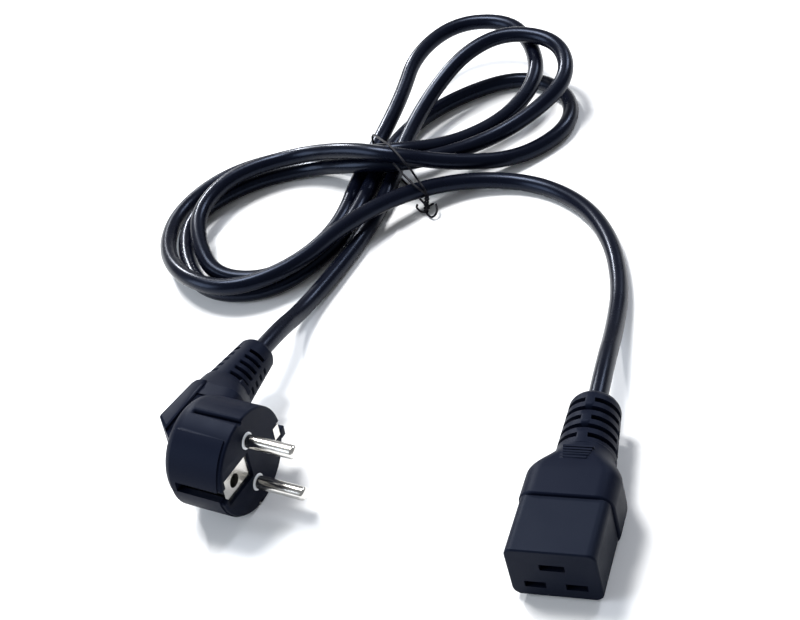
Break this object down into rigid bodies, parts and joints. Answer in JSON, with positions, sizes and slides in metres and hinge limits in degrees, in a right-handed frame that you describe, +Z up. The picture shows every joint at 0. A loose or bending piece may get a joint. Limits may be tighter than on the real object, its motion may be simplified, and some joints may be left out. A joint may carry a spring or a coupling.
{
  "type": "power cable",
  "caption": "Black power cord: right-angle two-pin earthed plug, round cable in a loose tied bundle, and a rectangular three-slot appliance connector.",
  "frame": {"origin": "middle of the connector shoulder's flat underside, on the surface that the cable lies on", "axes": "+Z up; -Y out of the connector's slotted face and +Y along its axis towards the cable; +X to the right when looking along +Y"},
  "size_m": [0.2278, 0.3071, 0.039],
  "materials": {
    "black_pvc": "satin moulded PVC",
    "cable_jacket": "soft gloss extruded PVC",
    "black_nylon": "satin moulded nylon",
    "white_nylon": "moulded, satin",
    "nickel_plate": "nickel plated brass, drawn",
    "contact_brass": "bright strip",
    "core_brown": "core insulation",
    "core_blue": "core insulation",
    "core_green_yellow": "core insulation, two colours",
    "tie_sleeve": "thin plastic over wire"
  },
  "bodies": {
    "root": {"connector_core_earth": "core_green_yellow", "connector_core_line": "core_brown", "connector_core_neutral": "core_blue", "connector_overmould": "black_pvc", "contact_carrier": "black_nylon", "contact_earth": "contact_brass", "contact_line": "contact_brass", "contact_neutral": "contact_brass", "cord": "cable_jacket", "earth_socket": "nickel_plate", "earth_strap": "nickel_plate", "pin_carrier": "white_nylon", "pin_line": "nickel_plate", "pin_neutral": "nickel_plate", "plug_core_earth": "core_green_yellow", "plug_core_line": "core_brown", "plug_core_neutral": "core_blue", "plug_overmould": "black_pvc", "twist_tie": "tie_sleeve"}
  },
  "joints": []
}
